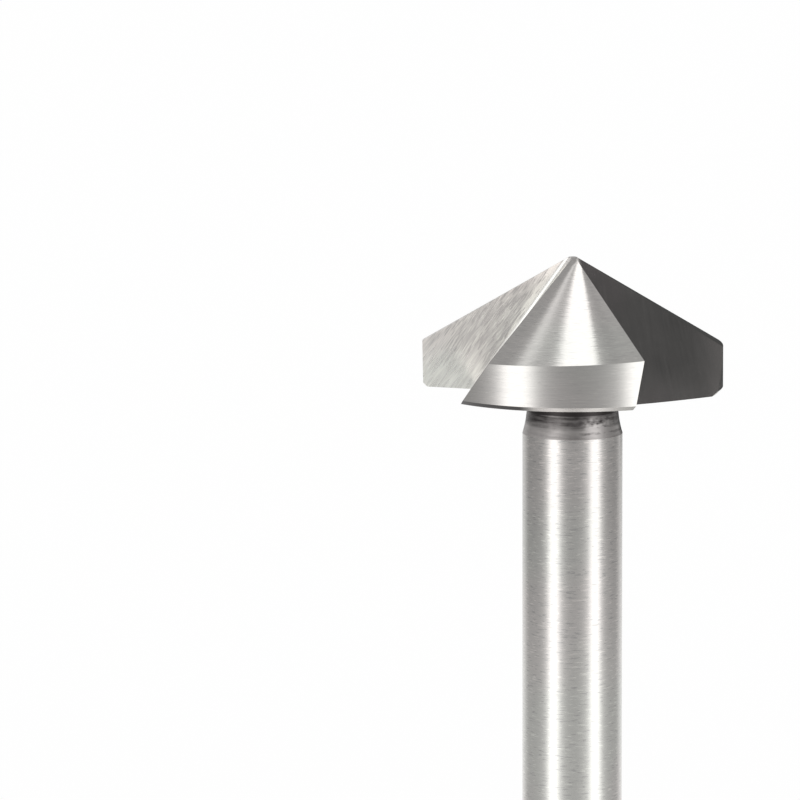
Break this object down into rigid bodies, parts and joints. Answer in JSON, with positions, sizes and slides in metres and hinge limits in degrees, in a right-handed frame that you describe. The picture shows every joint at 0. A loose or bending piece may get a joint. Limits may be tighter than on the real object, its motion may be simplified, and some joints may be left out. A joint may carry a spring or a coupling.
{
  "type": "countersink bit",
  "caption": "Countersink bit turned from one bar: a plain round shank, a waisted neck and a conical cutting head with straight ground flutes and relieved cutting edges.",
  "frame": {"origin": "centre of the shank end, on the bit's turning axis", "axes": "+Z along the turning axis from the shank end to the tip, -Y towards the side the picture shows"},
  "size_m": [0.03, 0.0296, 0.068],
  "materials": {
    "ground_steel": "turned shank, ground head and flutes, bare steel"
  },
  "bodies": {
    "root": {"countersink_bit": "ground_steel"}
  },
  "joints": []
}
